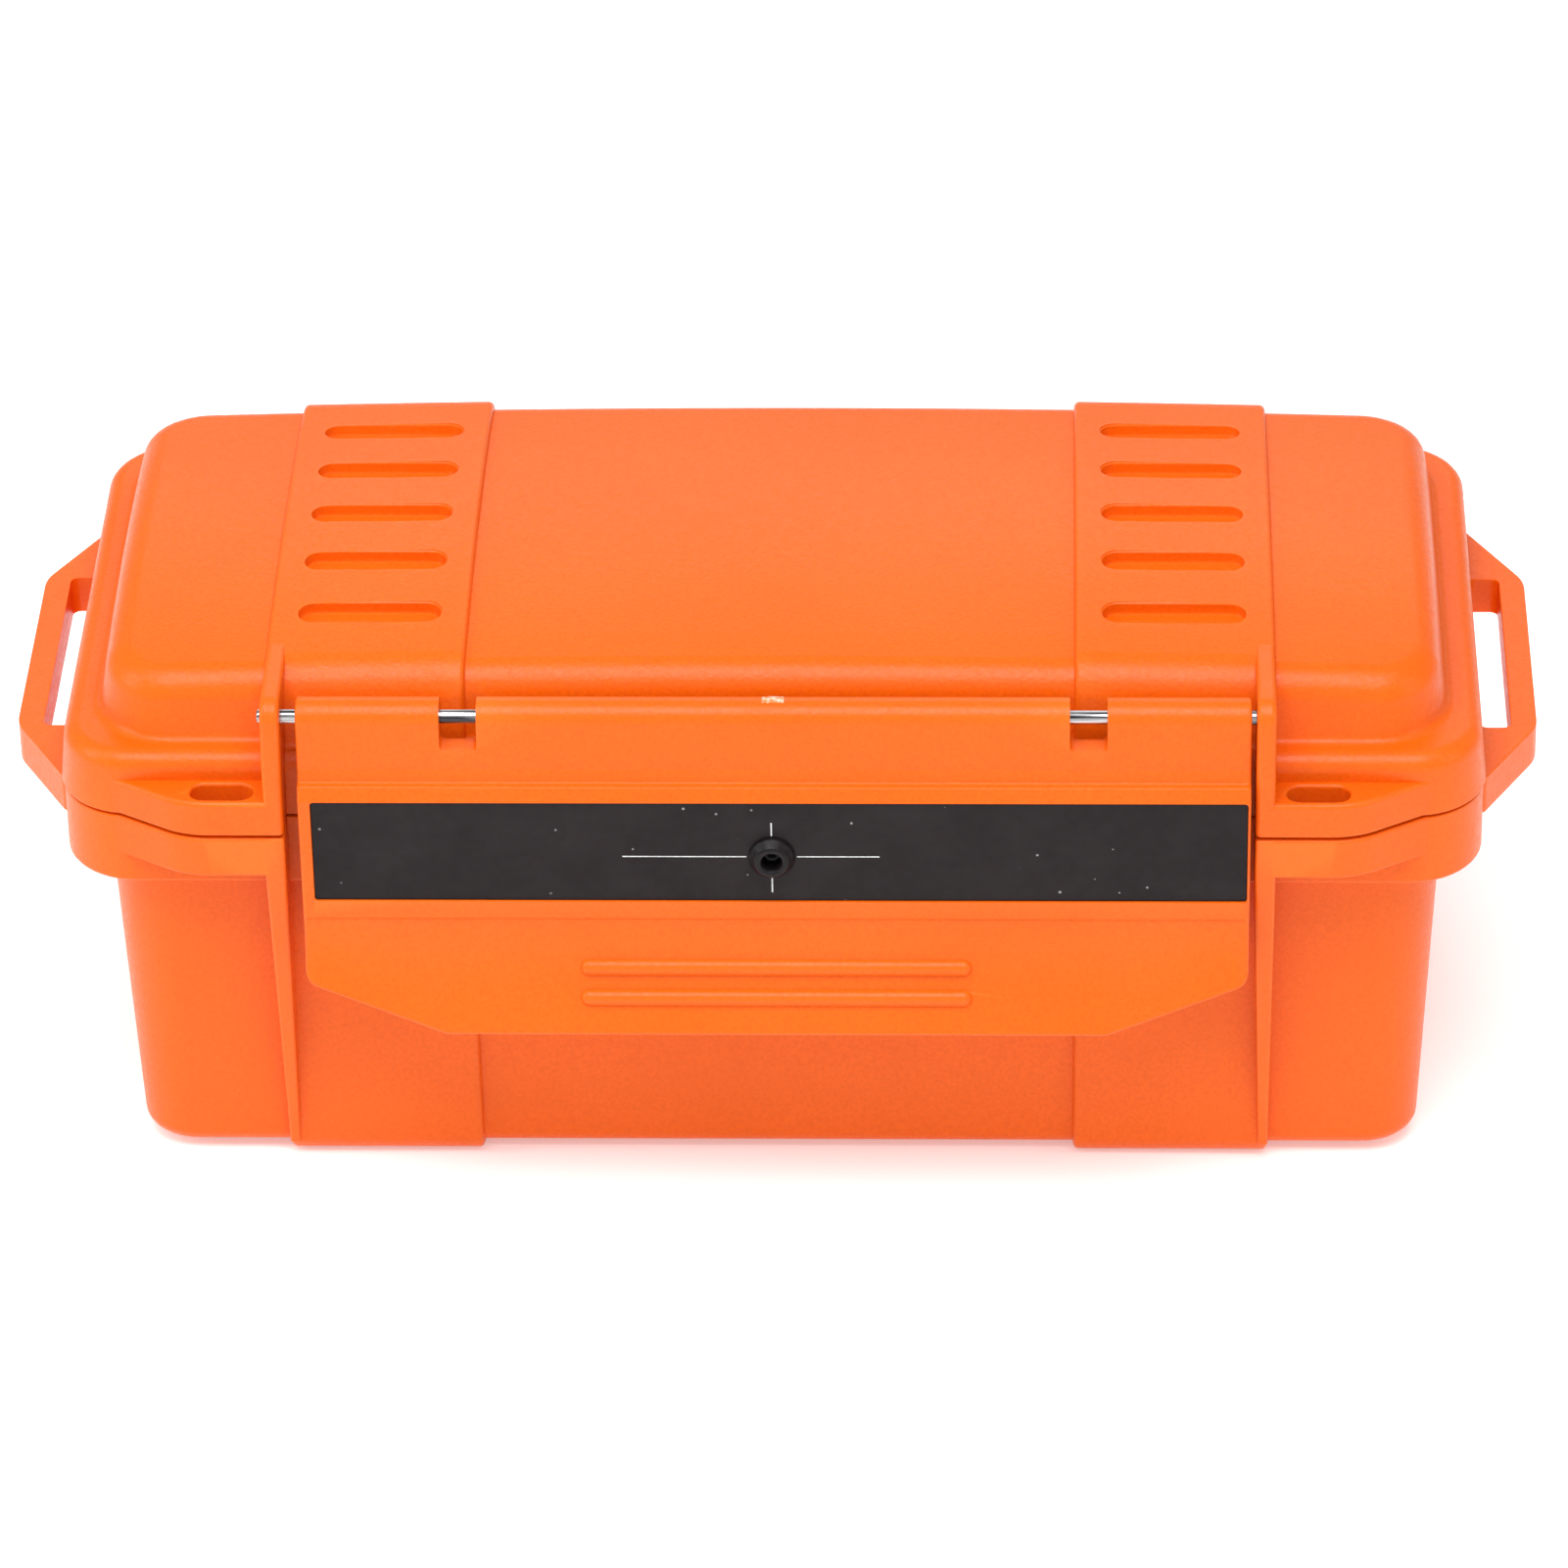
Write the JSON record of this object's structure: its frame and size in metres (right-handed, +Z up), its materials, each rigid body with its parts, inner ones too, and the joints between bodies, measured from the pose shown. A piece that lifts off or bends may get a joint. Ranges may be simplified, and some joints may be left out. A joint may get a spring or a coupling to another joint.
{
  "type": "first aid kit",
  "caption": "Hard waterproof first aid case with a rear-hinged domed lid, a full-width front latch with a pressure plug, end webbing handles, and packed dressings inside.",
  "frame": {"origin": "on the surface that the feet stand on, under the middle of the whole outline, latch and hinge included", "axes": "+X to the right along the case's length, seen from the front; +Y to the back, away from the latch; +Z up"},
  "size_m": [0.27, 0.1313, 0.1069],
  "materials": {
    "orange_plastic": "satin, fine moulded grain",
    "steel_pin": "drawn stainless steel",
    "black_rubber": "matt",
    "label_black": "matt, with fine pale specks",
    "valve_black": "satin",
    "foam_grey": "open foam",
    "elastic_crepe": "crepe weave",
    "gauze": "open weave",
    "paper_pack": "sterile paper",
    "card": "coated card",
    "sachet_foil": "crimped foil laminate",
    "foil": "creased metallised film",
    "calico": "plain weave",
    "tape_white": "woven tape",
    "spool_plastic": "smooth"
  },
  "bodies": {
    "base": {"base_shell": "orange_plastic", "hinge_pin": "steel_pin", "base_liner": "foam_grey", "elastic_bandage": "elastic_crepe", "gauze_roll_lower": "gauze", "gauze_roll_upper": "gauze", "dressing_pack": "paper_pack", "plaster_box": "card", "wipe_sachets": "sachet_foil", "foil_blanket": "foil", "triangular_bandage": "calico", "tape_roll": "tape_white", "tape_spool": "spool_plastic", "tweezers": "steel_pin"},
    "lid": {"lid_shell": "orange_plastic", "latch_pin": "steel_pin", "lid_gasket": "black_rubber", "lid_pad": "foam_grey"},
    "latch": {"latch_panel": "orange_plastic", "latch_label": "label_black", "valve_bezel": "valve_black", "valve_plug": "black_rubber", "valve_nut": "steel_pin"}
  },
  "joints": [
    {"name": "lid_hinge", "type": "hinge", "parent": "base", "child": "lid", "pos_m": [0, 0.0623, 0.078], "axis": [-1, 0, 0], "range_deg": [0, 110]},
    {"name": "latch_hinge", "type": "hinge", "parent": "lid", "child": "latch", "pos_m": [0, -0.0528, 0.0998], "axis": [-1, 0, 0], "range_deg": [0, 120]}
  ]
}
